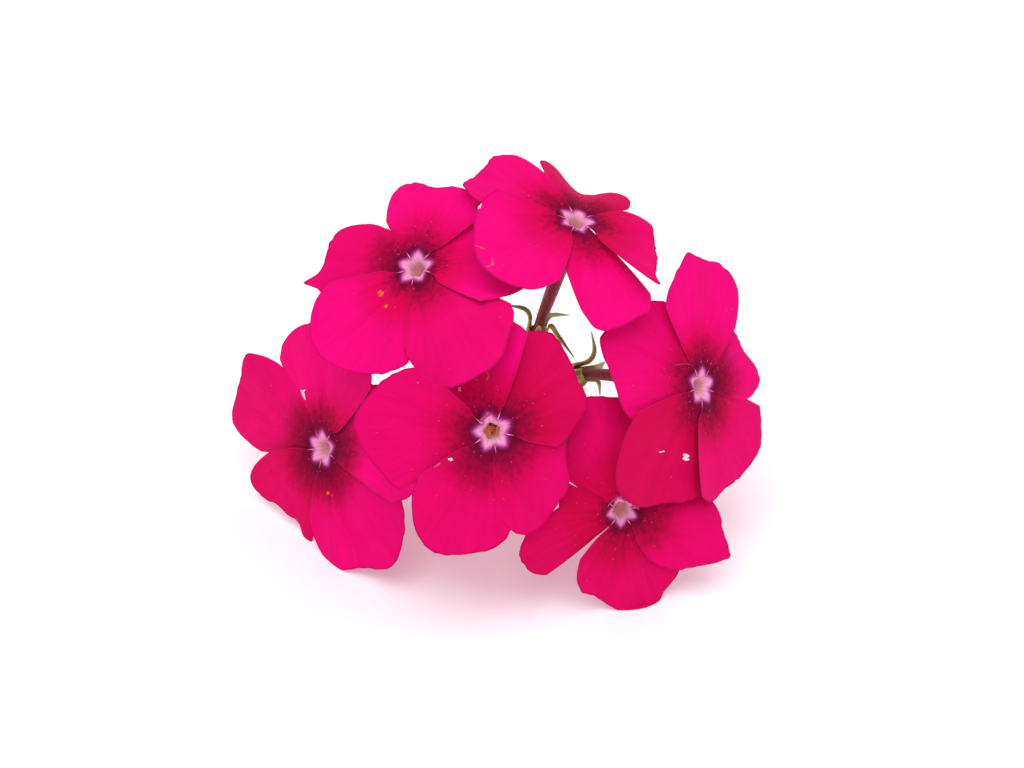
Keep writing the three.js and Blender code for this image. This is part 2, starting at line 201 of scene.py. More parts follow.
# Painted light and shade of each lobe: how brightly the light falls on it, from 0 for the shaded crimson
# ones to 1 for the lit, glowing magenta ones.
PAINTED_LOBE_LIGHT = {
    "top": (0.2, 0.65, 0.75, 0.75, 0.5),
    "upper_left": (0.95, 0.8, 0.5, 0.75, 0.55),
    "left": (0.8, 0.65, 0.4, 0.25, 0.6),
    "middle": (0.15, 0.9, 0.45, 0.4, 0.4),
    "right": (0.65, 0.75, 0.6, 0.1, 0.45),
    "lower_right": (0.5, 0.35, 0.2, 0.25, 0.4),
}
# The radius at which each lobe's dark root is half gone.
ROOTS = {
    "top": (5, 4.2, 3.4, 4.2, 3.7),
    "upper_left": (3.4, 4, 4.6, 3.4, 4.1),
    "left": (5.1, 4.2, 5.3, 5.1, 5),
    "middle": (4, 3.7, 4, 4.7, 4.3),
    "right": (5.5, 4.2, 4, 4.2, 4.5),
    "lower_right": (4.5, 2.6, 3.3, 3.9, 4.5),
}
# How large the pale star and what surrounds it are on each flower, as a factor.
EYE_SIZE = {"top": 0.84, "upper_left": 0.84, "left": 0.9, "middle": 0.86, "right": 0.88, "lower_right": 0.72}
# Pollen, scars, dried drops, and painted glints where a margin or a seam catches the light: flower, lobe,
# kind, width, and the line that they follow as places of (radius, across).
FLECKS = [
    ("upper_left", 3, "pollen", 0.6, ((4.9, -0.35), (4.8, -0.16))),
    ("upper_left", 3, "pollen", 0.4, ((5.5, 0.1), (5.5, 0.21))),
    ("left", 4, "pollen", 0.4, ((5.3, -0.4), (5.4, -0.29))),
    ("left", 4, "pollen", 0.3, ((5.7, -0.22), (5.8, -0.2))),
    ("left", 1, "pale", 0.4, ((7.8, 0.74), (7.1, 0.71), (6.4, 0.7))),
    ("left", 1, "pale", 0.25, ((7.5, 0.61), (7.4, 0.73))),
    ("right", 3, "pale", 0.9, ((8.2, 0.44), (9, 0.47))),
    ("right", 3, "pale", 0.15, ((10.7, -0.21), (9.9, -0.11))),
    # painted glint near this lobe's margin
    ("top", 2, "pale", 0.22, ((11.4, -0.69), (11.9, -0.59))),
    ("right", 2, "faint", 0.08, ((5, -0.14), (4, -0.38), (3.1, -0.72))),
    # painted glints along this lobe's lit margin
    ("top", 2, "faint", 0.22, ((14.1, -0.09), (13.4, -0.04), (13, 0.01))),
    ("top", 2, "faint", 0.3, ((14.5, 0.2), (13.6, 0.2), (13, 0.1))),
    ("middle", 2, "faint", 0.3, ((9.9, -0.76), (9.7, -0.78))),
    ("middle", 1, "faint", 0.25, ((6.5, -0.02), (6, 0.02), (5.6, -0.06))),
    ("middle", 1, "faint", 0.25, ((6.7, -0.3), (6.1, -0.36), (5.5, -0.28))),
    ("middle", 1, "pale", 0.3, ((5.7, 0.52), (5.4, 0.6))),
    # painted glint where this lobe's edge catches the light
    ("middle", 3, "pale", 0.3, ((5.6, -0.93), (5.2, -0.82))),
    # painted light along the seam with the next lobe
    ("middle", 3, "faint", 0.2, ((7.4, -0.95), (6.4, -0.95))),
]
DUST_PER_LOBE = 8
FLECK_HEIGHT = {"middle": 0.16, "sides": 0.1}

RAGGED = 0.07  # how far a margin's fine teeth stand out
WAVES = {"broad": 0.22, "narrow": 0.14}  # how far a blade's waves stand out near its margin
GROOVE = {"depth": 0.16, "width": 0.9}  # along the middle of a lobe
VEIN_HEIGHT = 0.011
PLEAT = 0.07  # how far the eye's radius goes in and out round the throat

SINUS_RADIUS = 1.75  # the lobes are one surface inside it and separate outside it
FUNNEL = {"outer": 2.1, "inner": 0.95, "depth": 0.9}  # where the limb turns down into the throat
THROAT = {"foot": 0.52, "depth": 4.6}
PETAL_THICKNESS = {"root": 0.18, "margin": 0.12}
PETAL_STEPS = {"throat": 8, "funnel": 12, "out": 50, "across": 60}
FAR = 9.0  # stands for any distance from a margin that is too far to matter

LINING = 0.07  # thickness of the tube's wall
FLARE = {"length": 1.3, "width": 0.75}  # where the tube widens into the limb
ANTHER = {"girth": 0.17, "length": 0.85, "apart": 0.11, "from_axis": 0.42}
ANTHER_DEPTHS = {"middle": (1.7, 1.3, 0.8, 2.4, 2.0), "others": (2.3, 3.0, 2.6, 3.7, 3.3)}
STIGMA = {"foot": -5.0, "fork": -3.4, "tips": -2.7, "spread": 0.3}

SEPAL = {"half_width": 0.5, "half_thickness": 0.12, "cupped": 0.45}
CALYX_RIB = {"width": 0.2, "height": 0.09, "dip": 0.8, "wall": 0.16}
PEDICEL_GAP = 0.1  # between a pedicel and its calyx
# How many hairs grow on each piece, and how long they are.
HAIRS = {"tube": (420, 0.42), "calyx": (260, 0.4), "peduncle": (900, 0.38), "pedicel": (90, 0.34)}


# ---- Small maths ----
def smooth(low, high, value):
    share = np.clip((value - low) / (high - low), 0, 1)
    return share * share * (3 - 2 * share)


def lerp(a, b, share):
    return a + (b - a) * share


def catmull_rom(points, share):
    """A smooth curve through the points, read at shares from 0 to 1 of the way along it."""
    points = np.asarray(points, float)
    first = 2 * points[0] - points[1]
    last = 2 * points[-1] - points[-2]
    padded = np.concatenate([[first], points, [last]])
    place = np.clip(np.asarray(share, float), 0, 1) * (len(points) - 1)
    index = np.minimum(place.astype(int), len(points) - 2)
    t = place - index
    if points.ndim > 1:
        t = t[..., None]
    a, b, c, d = (padded[index + k] for k in range(4))
    return b + 0.5 * t * (c - a + t * (2 * a - 5 * b + 4 * c - d + t * (3 * (b - c) + d - a)))


def bezier(a, b, c, d, share):
    t = np.asarray(share, float)[:, None]
    return (1 - t) ** 3 * a + 3 * (1 - t) ** 2 * t * b + 3 * (1 - t) * t**2 * c + t**3 * d


def facing(heading, rise):
    """right, up and out of something that faces `heading` degrees to the right of the front and `rise`
    degrees above level, as the rows of a matrix."""
    h = math.radians(heading)
    r = math.radians(rise)
    out = np.array([math.sin(h) * math.cos(r), -math.cos(h) * math.cos(r), math.sin(r)])
    right = np.array([math.cos(h), math.sin(h), 0.0])
    return np.array([right, np.cross(out, right), out])


def facing_along(direction):
    x, y, z = direction / np.linalg.norm(direction)
    return facing(math.degrees(math.atan2(x, -y)), math.degrees(math.asin(z)))


def unit(vectors):
    return vectors / np.maximum(np.linalg.norm(vectors, axis=-1, keepdims=True), 1e-12)


# ---- Mesh building ----
def grid_faces(index):
    """Quads between the neighbours of a grid of vertex numbers."""
    return np.stack([index[:-1, :-1], index[1:, :-1], index[1:, 1:], index[:-1, 1:]], -1).reshape(-1, 4)


def skin_faces(rows, sides):
    """Quads round a tube of rings, and a cap at each end."""
    index = np.arange(rows * sides).reshape(rows, sides)
    faces = grid_faces(np.concatenate([index, index[:, :1]], 1)).tolist()
    faces.append(index[0][::-1].tolist())
    faces.append(index[-1].tolist())
    return faces


def vertex_normals(points, faces):
    corners = points[faces]
    across = np.cross(corners[:, 2] - corners[:, 0], corners[:, 3] - corners[:, 1])
    normals = np.zeros_like(points)
    for k in range(4):
        np.add.at(normals, faces[:, k], across)
    return unit(normals)


def rim_edges(faces):
    """The edges that only one face has, in that face's direction."""
    edges = np.concatenate([faces[:, [k, (k + 1) % 4]] for k in range(4)])
    seen = {tuple(edge) for edge in edges.tolist()}
    return np.array([edge for edge in edges.tolist() if (edge[1], edge[0]) not in seen])


class Sheet:
    """Points, faces, their material numbers and per-point attributes, gathered piece by piece."""

    def __init__(self):
        self.points = []
        self.faces = []
        self.slots = []
        self.fields = {}
        self.count = 0

    def add(self, points, faces, slot=0, **fields):
        points = np.asarray(points, float).reshape(-1, 3)
        self.points.append(points)
        self.faces.extend((np.asarray(face) + self.count).tolist() for face in faces)
        self.slots.extend([slot] * len(faces) if np.isscalar(slot) else list(slot))
        for name, values in fields.items():
            self.fields.setdefault(name, []).append(np.asarray(values, float).reshape(-1, 3))
        self.count += len(points)


def add_piece(name, sheet, materials, node, sharp=None):
    """Makes a Blender mesh of the sheet that rides on the frame and stands for a CAD node."""
    mesh = bpy.data.meshes.new(name)
    mesh.from_pydata((np.concatenate(sheet.points) * MM).tolist(), [], sheet.faces)
    for field, parts in sheet.fields.items():
        attribute = mesh.attributes.new(field, "FLOAT_VECTOR", "POINT")
        attribute.data.foreach_set("vector", np.concatenate(parts).astype(np.float32).ravel())
    for material in materials:
        mesh.materials.append(material)
    mesh.polygons.foreach_set("material_index", sheet.slots)
    mesh.polygons.foreach_set("use_smooth", [True] * len(mesh.polygons))
    if sharp is not None:
        mesh.set_sharp_from_angle(angle=math.radians(sharp))
    mesh.update()
    piece = bpy.data.objects.new(name, mesh)
    bpy.context.scene.collection.objects.link(piece)
    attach(piece, "root")
    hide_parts(node)


def carried_frames(points):
    """Two directions across a line of points at each of them, turned as little as possible."""
    tangents = unit(np.gradient(points, axis=0))
    start = np.cross(tangents[0], [0.0, 0.0, 1.0])
    if np.linalg.norm(start) < 0.1:
        start = np.cross(tangents[0], [1.0, 0.0, 0.0])
    normals = [unit(start)]
    for tangent in tangents[1:]:
        normals.append(unit(normals[-1] - tangent * (normals[-1] @ tangent)))
    normals = np.array(normals)
    return normals, np.cross(tangents, normals)


def tube_rings(points, radii, sides, ridges=0.0, ridge_count=5):
    """Rings of points round a line, and the outward direction at each of them."""
    normals, binormals = carried_frames(points)
    angle = np.arange(sides) / sides * math.tau
    around = normals[:, None] * np.cos(angle)[:, None] + binormals[:, None] * np.sin(angle)[:, None]
    girth = np.asarray(radii)[:, None] * (1 + ridges * np.cos(ridge_count * angle))
    return points[:, None] + around * girth[..., None], around


def add_rings(sheet, rings, share, slot=0):
    """Skins the rings and caps both ends. Field "along" holds the share along and the turn."""
    sides = rings.shape[1]
    faces = [face[::-1] for face in skin_faces(len(rings), sides)]
    turn = np.tile(np.arange(sides) / sides * math.tau, len(rings))
    along = np.stack([np.repeat(share, sides), turn, np.zeros(len(turn))], -1)
    sheet.add(rings, faces, slot, along=along)


def add_tube(sheet, points, radii, sides, slot=0, ridges=0.0, ridge_count=5):
    """A closed tube along a line of points. It gives back its rings, for hairs to grow from."""
    rings, around = tube_rings(points, radii, sides, ridges, ridge_count)
    add_rings(sheet, rings, np.linspace(0, 1, len(points)), slot)
    return rings, around


def add_hairs(sheet, rng, rings, around, kind, lean=0.5, thickness=0.018):
    """Fine three-sided hairs that stand out from a tube's surface, in the second material."""
    count, length = HAIRS[kind]
    rows, sides = rings.shape[:2]
    row = rng.integers(0, rows - 1, count)
    side = rng.integers(0, sides, count)
    share = rng.random((count, 1))
    base = lerp(rings[row, side], rings[row + 1, side], share)
    out = around[row, side]
    along = unit(rings[row + 1, side] - rings[row, side])
    forward = along * rng.uniform(-lean, lean, (count, 1))
    sideways = np.cross(out, along) * rng.uniform(-lean, lean, (count, 1))
    tilt = forward + sideways
    tips = base + unit(out + tilt) * length * rng.uniform(0.5, 1.2, (count, 1))
    for k in range(count):
        first = unit(np.cross(out[k], [0.3, 0.5, 0.8]))
        second = along[k]
        foot = [
            base[k] - out[k] * 0.02 + thickness * (math.cos(a) * first + math.sin(a) * second)
            for a in (0, math.tau / 3, math.tau * 2 / 3)
        ]
        place = np.full((4, 3), 0.5)
        sheet.add([*foot, tips[k]], [[0, 1, 3], [1, 2, 3], [2, 0, 3]], 1, along=place)


# ---- Petals ----
def complete(name, flower, number):
    """Adds what follows from a flower's own values, and what the tables of fine shape, marks and painted
    light say about it.
    """
    flower["axes"] = facing(flower["heading"], flower["rise"])
    flower["centre"] = FORK + flower["eye"]
    aims = [shape["aim"] for shape in flower["lobes"]]
    counter = [(aim + after) / 2 for aim, after in zip(aims, aims[1:] + [aims[0] + 360])]
    clockwise = [counter[-1] - 360, *counter[:-1]]
    for i, shape in enumerate(flower["lobes"]):
        shape["sinuses"] = (clockwise[i], counter[i])
        shape["tip"] = TIPS.get((name, i))
        shape["look"] = (PAINTED_LOBE_LIGHT[name][i], ROOTS[name][i], 0.0)
        shape["eye_size"] = EYE_SIZE[name]
        shape["seed"] = number * 10 + i
        shape["mark"] = number + 0.17 * i
        shape["twist"] = 0.35 * (i + 1)


def margin_of(shape, across):
    """How far from the eye the lobe ends, with its pointed tip and fine uneven teeth."""
    shoulders = 1 - LOBE_SHOULDER * np.abs(across) ** 6
    margin = catmull_rom(shape["reach"], (across + 1) / 2) * shoulders
    if shape["tip"]:
        place, width, outward = shape["tip"]
        margin = margin + outward * np.exp(-(np.abs(across - place) / width) ** 1.5)
    phase = np.random.default_rng(500 + shape["seed"]).uniform(0, math.tau, 4)
    teeth = np.sin(19 * across + phase[0] + 2 * np.sin(5 * across + phase[1]))
    teeth = teeth + 0.7 * np.sin(43 * across + phase[2])
    return margin + RAGGED * teeth * (0.6 + 0.4 * np.sin(7 * across + phase[3]))


def lobe_place(shape, radius, across):
    """Points of a lobe in its flower's right, up and out, in millimetres, and the angle of each.

    Outside SINUS_RADIUS a lobe is free to lie over its neighbours. Inside it the lobes meet at the sinuses.
    """
    share = radius / margin_of(shape, across)
    apart = smooth(SINUS_RADIUS, SINUS_RADIUS + 2.5, radius)
    free = shape["aim"] + shape["spread"] * across * (1 + LOBE_BELLY * (1 - share))
    joined = lerp(*shape["sinuses"], (across + 1) / 2)
    angle = np.radians(lerp(joined, free, apart))
    tilt = np.tan(np.radians(LOBE_ROLL)) * radius * np.sin(np.radians(shape["spread"] * across))
    lift = catmull_rom(shape["lift"], (across + 1) / 2) * share**1.6
    height = lift - tilt * smooth(SINUS_RADIUS, SINUS_RADIUS + 1, radius)
    height = height + relief(radius, across, share, shape["seed"])
    inside = np.clip((FUNNEL["outer"] - radius) / (FUNNEL["outer"] - FUNNEL["inner"]), 0, 1)
    height = height - FUNNEL["depth"] * (1 - np.sqrt(1 - inside**2))
    pleat = PLEAT * np.cos(np.pi * across) * (1 - smooth(1.3, 2.4, radius))
    wide = radius * (1 + pleat)
    return np.stack([wide * np.cos(angle), wide * np.sin(angle), height], -1), angle


def relief(radius, across, share, seed):
    """Waves of the blade, a shallow groove down its middle, and fine raised veins that fork outwards."""
    phase = np.random.default_rng(seed).uniform(0, math.tau, 6)
    calm = 1 - across**4
    wave = WAVES["broad"] * np.sin(4.2 * across + phase[0])
    wave = wave + WAVES["narrow"] * np.sin(8.5 * across + phase[1] + 2 * share)
    wave = wave * share**2.5 * calm
    groove = -GROOVE["depth"] * np.exp(-((across * radius / GROOVE["width"]) ** 2))
    groove = groove * smooth(1.8, 4, radius) * (1 - smooth(0.5, 0.95, share))
    bend = across + 0.03 * np.sin(9 * share + phase[2])
    coarse = np.cos(bend * 22 + phase[3]) * (1 - smooth(0.45, 0.8, share))
    fine = np.cos(bend * 44 + phase[4]) * smooth(0.4, 0.75, share)
    veins = VEIN_HEIGHT * (coarse + fine) * smooth(2, 4.5, radius)
    return wave + groove + veins * calm


def throat_drift(flower, depth):
    """How far the tube has bent to the side, right and up, at each depth under the eye."""
    line, _ = tube_line(flower, 200)
    local = (line - FORK - flower["eye"]) @ flower["axes"].T
    return np.stack([np.interp(-depth, local[:, 2], local[:, k]) for k in range(2)], -1)


def add_fleck(sheet, flower, shape, line, width, slot):
    """A thin blob or streak that lies on a lobe and follows a line of (radius, across) places."""
    seed = shape["seed"]
    share = np.linspace(0, 1, 9)
    radius, across = catmull_rom(line, share).T
    step = 0.02

    def on_lobe(outward, aside):
        return lobe_place(shape, radius + outward, across + aside)[0]

    here = on_lobe(0, 0)
    normal = unit(np.cross(on_lobe(step, 0) - here, on_lobe(0, step) - here))
    normal = normal * np.sign(normal[:, 2:])
    side = unit(np.cross(normal, np.gradient(here, axis=0)))
    wobble = 1 + 0.35 * np.sin(share * 11 + seed) + 0.2 * np.sin(share * 23 + 2 * seed)
    half = (0.5 * width * np.sqrt(1.02 - (2 * share - 1) ** 4) * wobble)[:, None]
    sides = here + normal * FLECK_HEIGHT["sides"]
    top = here + normal * FLECK_HEIGHT["middle"]
    ring = np.stack([sides + side * half, top, sides - side * half, here], 1)
    corners = ring.reshape(-1, 3) @ flower["axes"] + flower["centre"]
    blank = np.zeros((len(corners), 3))
    sheet.add(corners, skin_faces(len(ring), 4), slot, spoke=blank, place=blank, look=blank)


def add_flecks(sheet, name, flower):
    """The marks of FLECKS, and fine dust strewn over every lobe."""
    kinds = {"pale": 3, "faint": 4, "pollen": 5}
    for i, shape in enumerate(flower["lobes"]):
        for owner, lobe_number, kind, width, line in FLECKS:
            if (owner, lobe_number) == (name, i):
                add_fleck(sheet, flower, shape, line, width, kinds[kind])
        rng = np.random.default_rng(600 + shape["seed"])
        for _ in range(DUST_PER_LOBE):
            across = rng.uniform(-0.8, 0.8)
            reach = margin_of(shape, np.array([across]))[0] - 1
            radius = 2.6 + (reach - 2.6) * rng.random() ** 1.8
            end = (radius + rng.uniform(0.1, 0.3), across + rng.uniform(-0.02, 0.02))
            line = ((radius, across), end)
            add_fleck(sheet, flower, shape, line, rng.uniform(0.05, 0.12), kinds["faint"])


def petal_rows():
    """How the rows of a petal's grid are spread: shares of the way down the throat, turns of the funnel
    and its radius at each, and shares of the way out to the margin."""
    down = np.linspace(1, 0, PETAL_STEPS["throat"] + 1)[:-1]
    turn = np.linspace(0, math.pi / 2, PETAL_STEPS["funnel"] + 1)
    funnel_radius = FUNNEL["outer"] - (FUNNEL["outer"] - FUNNEL["inner"]) * np.cos(turn)
    outward = np.linspace(0, 1, PETAL_STEPS["out"] + 1)[1:]
    return down, turn, funnel_radius, lerp(outward, 1 - (1 - outward) ** 1.5, 0.5)


def lobe_grid(flower, shape):
    """One lobe and its strip of the throat: a grid of points in the flower's right, up and out, and the
    three fields that its paint reads.

    spoke: direction from the eye, and distance from it, which is negative down the throat
    place: share of the way to a side, distance from the nearest edge, and a number of the lobe's own
    look: painted light and shade of the lobe, and radius of the dark root
    """
    down, turn, funnel_radius, outward = petal_rows()
    across = np.linspace(-1, 1, PETAL_STEPS["across"] + 1)
    across = np.sin(across * math.pi / 2) * 0.35 + across * 0.65
    columns = len(across)

    margin = margin_of(shape, across)
    flat_radius = FUNNEL["outer"] + (margin[None] - FUNNEL["outer"]) * outward[:, None]
    radius = np.concatenate([np.repeat(funnel_radius[:, None], columns, 1), flat_radius])
    across_grid = np.repeat(across[None], len(radius), 0)
    blade, angle = lobe_place(shape, radius, across_grid)

    tube_radius = lerp(FUNNEL["inner"], THROAT["foot"], down)[:, None] / FUNNEL["inner"]
    throat = np.repeat(blade[:1], len(down), 0)
    throat[..., :2] *= tube_radius[..., None]
    throat[..., :2] += throat_drift(flower, FUNNEL["depth"] + down * THROAT["depth"])[:, None]
    throat[..., 2] -= down[:, None] * THROAT["depth"]

    below = np.repeat(FUNNEL["inner"] - down[:, None] * THROAT["depth"], columns, 1)
    depth = np.concatenate([below, radius])
    in_funnel = slice(len(down), len(down) + len(turn))
    depth[in_funnel] -= (FUNNEL["depth"] * (1 - np.sin(turn)) * 0.6)[:, None]
    angle = np.concatenate([np.repeat(angle[:1], len(down), 0), angle])
    turned = angle + shape["twist"] * smooth(SINUS_RADIUS, SINUS_RADIUS + 1.5, depth)
    scaled = depth / lerp(shape["eye_size"], 1, smooth(2.5, 6, depth))
    marked = np.where(depth > 0, scaled, depth)
    spoke = np.stack([np.cos(turned), np.sin(turned), marked], -1)

    to_margin = np.concatenate([np.full((len(down), columns), FAR), margin[None] - radius])
    to_side = (1 - np.abs(across))[None] * np.radians(shape["spread"]) * np.maximum(depth, 0.5)
    edge = np.minimum(to_margin, np.where(depth > SINUS_RADIUS, to_side, FAR))
    aside = np.repeat(np.abs(across)[None], len(depth), 0)
    place = np.stack([aside, edge, np.full_like(edge, shape["mark"])], -1)
    look = np.broadcast_to(shape["look"], place.shape)
    return np.concatenate([throat, blade]), spoke, place, look


def petals(name, flower, materials):
    """The limb and the throat: five lobes, joined inside the sinuses, with a front, a back and a rim."""
    axes = flower["axes"]
    grids = [lobe_grid(flower, shape) for shape in flower["lobes"]]
    rows, columns = grids[0][0].shape[:2]
    index = np.arange(5 * rows * columns).reshape(5, rows, columns)
    down, _, funnel_radius, _ = petal_rows()
    joined_rows = len(down) + int((funnel_radius <= SINUS_RADIUS).sum())
    for i in range(5):
        index[i, :joined_rows, -1] = index[(i + 1) % 5, :joined_rows, 0]
    faces = np.concatenate([grid_faces(part) for part in index])
    used, faces = np.unique(faces, return_inverse=True)
    faces = faces.reshape(-1, 4)
    parts = [np.concatenate([grid[k].reshape(-1, 3) for grid in grids])[used] for k in range(4)]
    points, spoke, place, look = parts
    points = points @ axes + flower["centre"]
    points[:, 2] = np.maximum(points[:, 2], PETAL_THICKNESS["margin"])

    normals = vertex_normals(points, faces)
    if np.mean(normals @ axes[2]) < 0:
        normals = -normals
        faces = faces[:, ::-1]
    thickness = lerp(PETAL_THICKNESS["root"], PETAL_THICKNESS["margin"], smooth(3, 10, spoke[:, 2]))
    half = thickness[:, None] / 2
    half = half * (0.45 + 0.55 * smooth(0, 0.7, place[:, 1]))[:, None]
    front = points + normals * half
    back = points - normals * half
    rim = rim_edges(faces)
    size = len(points)
    rim_faces = np.stack([rim[:, 1], rim[:, 0], rim[:, 0] + size, rim[:, 1] + size], -1)
    sheet = Sheet()
    add_flecks(sheet, name, flower)
    sheet.add(
        np.concatenate([front, back]),
        np.concatenate([faces, faces[:, ::-1] + size, rim_faces]),
        [0] * len(faces) + [1] * len(faces) + [2] * len(rim_faces),
        spoke=np.tile(spoke, (2, 1)),
        place=np.tile(place, (2, 1)),
        look=np.tile(look, (2, 1)),
    )
    add_piece(f"petals_{name}", sheet, materials, f"corolla_{name}", sharp=60)


# ---- Corolla tube ----
def tube_line(flower, steps):
    """Evenly spaced points of the tube's centre line, from its foot in the calyx to just under the eye,
    and how far along it each one is."""
    mouth = np.array(flower["mouth"])
    axis = unit(mouth)
    eye = np.array(flower["eye"])
    out = flower["axes"][2]
    foot = mouth + axis * (CALYX["floor"] + CLEARANCE - CALYX["length"])
    leaving = mouth + axis * TUBE_BEND["calyx"]
    arriving = eye - out * TUBE_BEND["eye"]
    line = bezier(foot, leaving, arriving, eye, np.linspace(0, 1, 200))
    walked = np.concatenate([[0], np.cumsum(np.linalg.norm(np.diff(line, axis=0), axis=1))])
    even = np.linspace(0, walked[-1] - 0.12, steps + 1)
    return FORK + np.stack([np.interp(even, walked, line[:, k]) for k in range(3)], -1), even


def corolla_tube(name, flower, number, materials):
    """The tube from the calyx to the eye, closed at its foot and hollow where the throat is."""
    line, walked = tube_line(flower, 60)
    share = walked / walked[-1]
    slim = lerp(TUBE["foot"], TUBE["waist"], share * 2)
    swelling = lerp(TUBE["waist"], TUBE["neck"], np.maximum(share * 2 - 1, 0) ** 1.6)
    radii = np.where(share < 0.5, slim, swelling)
    to_eye = walked[-1] - walked
    flare = 1 - np.sqrt(1 - np.clip(1 - to_eye / FLARE["length"], 0, 1) ** 2)
    radii = radii + FLARE["width"] * flare
    sheet = Sheet()
    rings, around = tube_rings(line, radii, 30, 0.02, 10)
    lining, _ = tube_rings(line, radii - LINING, 30, 0.02, 10)
    hollow = int((to_eye < THROAT["depth"] + 0.6).sum())
    skin = np.concatenate([rings, lining[-hollow:][::-1]])
    add_rings(sheet, skin, np.concatenate([share, share[-hollow:][::-1]]))
    rng = np.random.default_rng(100 + number)
    add_hairs(sheet, rng, rings[12:54], around[12:54], "tube")
    add_piece(f"tube_{name}", sheet, materials, f"corolla_{name}", sharp=70)


# ---- Anthers and stigma ----
def anthers(name, flower, number, materials):
    """Five two-lobed anthers on short filaments, at different depths, round a three-armed stigma."""
    axes = flower["axes"]
    eye = flower["centre"]
    sheet = Sheet()
    rng = np.random.default_rng(200 + number)
    for i, depth in enumerate(ANTHER_DEPTHS.get(name, ANTHER_DEPTHS["others"])):
        angle = math.radians(flower["lobes"][i]["aim"] + 36 + rng.uniform(-8, 8))
        wall = np.array([math.cos(angle), math.sin(angle), 0.0])
        side = np.array([-math.sin(angle), math.cos(angle), 0.0])
        root = wall * 0.55 + np.array([0, 0, -depth - 0.9])
        body = wall * ANTHER["from_axis"] + np.array([0, 0, -depth])
        stalk = catmull_rom([root, lerp(root, body, 0.5) - wall * 0.05, body], np.linspace(0, 1, 8))
        add_tube(sheet, stalk @ axes + eye, np.full(8, 0.05), 8, slot=1)
        share = np.linspace(0, 1, 12)
        girth = ANTHER["girth"] * np.sqrt(np.clip(1 - (share * 2 - 1) ** 4, 0.02, 1))
        for half in (-1, 1):
            centre = body + side * half * ANTHER["apart"]
            bean = centre + np.outer(share - 0.45, [0, 0, ANTHER["length"]])
            bean = bean - np.outer(np.sin(share * math.pi) * 0.06, wall)
            add_tube(sheet, bean @ axes + eye, girth, 12, slot=0, ridges=0.06, ridge_count=4)
    fork = np.array([0, 0, STIGMA["fork"]])  # depths under the eye
    style = catmull_rom([[0, 0, STIGMA["foot"]], [0.03, 0.02, -4.2], fork], np.linspace(0, 1, 10))
    add_tube(sheet, style @ axes + eye, np.full(10, 0.09), 10, slot=1)
    for arm in range(3):
        angle = arm * math.tau / 3
        away = np.array([math.cos(angle), math.sin(angle), 0.0])
        tip = away * STIGMA["spread"] + [0, 0, STIGMA["tips"]]
        bend = away * 0.08 + [0, 0, -3.0]
        curve = catmull_rom([fork, bend, tip], np.linspace(0, 1, 8))
        add_tube(sheet, curve @ axes + eye, np.linspace(0.08, 0.05, 8), 8, slot=1)
    add_piece(f"anthers_{name}", sheet, materials, f"anthers_{name}")


# ---- Calyx ----
def add_sepal(sheet, axes, mouth, shape, outer):
    """An awl-shaped sepal: a keeled blade whose pale margins roll in a little towards the flower."""
    turn = math.radians(shape["turn"])
    radial = np.array([math.cos(turn), math.sin(turn), 0.0])
    side = np.array([-math.sin(turn), math.cos(turn), 0.0]) @ axes
    stations = [
        radial * (outer - 0.02) + [0, 0, -2.2],
        radial * (outer + 0.08) + [0, 0, -0.9],
        radial * (outer + 0.25) + [0, 0, 0.7],
        radial * (outer + shape["out"]) * 0.5 + [0, 0, 0.55 * shape["along"] + 0.9],
        radial * (outer + shape["out"]) + [0, 0, shape["along"]],
    ]
    share = np.linspace(0, 1, 26)
    line = mouth + catmull_rom(stations, share) @ axes
    tangents = unit(np.gradient(line, axis=0))
    outward = unit(np.cross(tangents, side))
    if np.mean(outward @ (radial @ axes)) < 0:
        outward = -outward
    taper = np.interp(share, [0, 0.25, 0.45, 0.8, 1], [0.6, 1.1, 0.95, 0.7, 0.12])
    width = SEPAL["half_width"] * taper
    across = np.linspace(-1, 1, 9)
    cup = (across**2) * SEPAL["cupped"]
    middle = line[:, None] + side * (width[:, None] * across)[..., None]
    middle = middle - outward[:, None] * (width[:, None] * cup)[..., None]
    keel = SEPAL["half_thickness"] * (1 - 0.6 * across**2)
    half = keel[None, :] * np.interp(share, [0, 0.8, 1], [1, 0.9, 0.4])[:, None]
    front = middle + outward[:, None] * half[..., None]
    back = middle - outward[:, None] * half[..., None]
    ring = np.concatenate([front, back[:, ::-1]], 1)
    rows, sides = ring.shape[:2]
    lateral = np.abs(np.concatenate([across, across[::-1]]))
    along = np.stack([np.repeat(share, sides), np.tile(lateral, rows), np.ones(rows * sides)], -1)
    sheet.add(ring, skin_faces(rows, sides), 0, along=along)


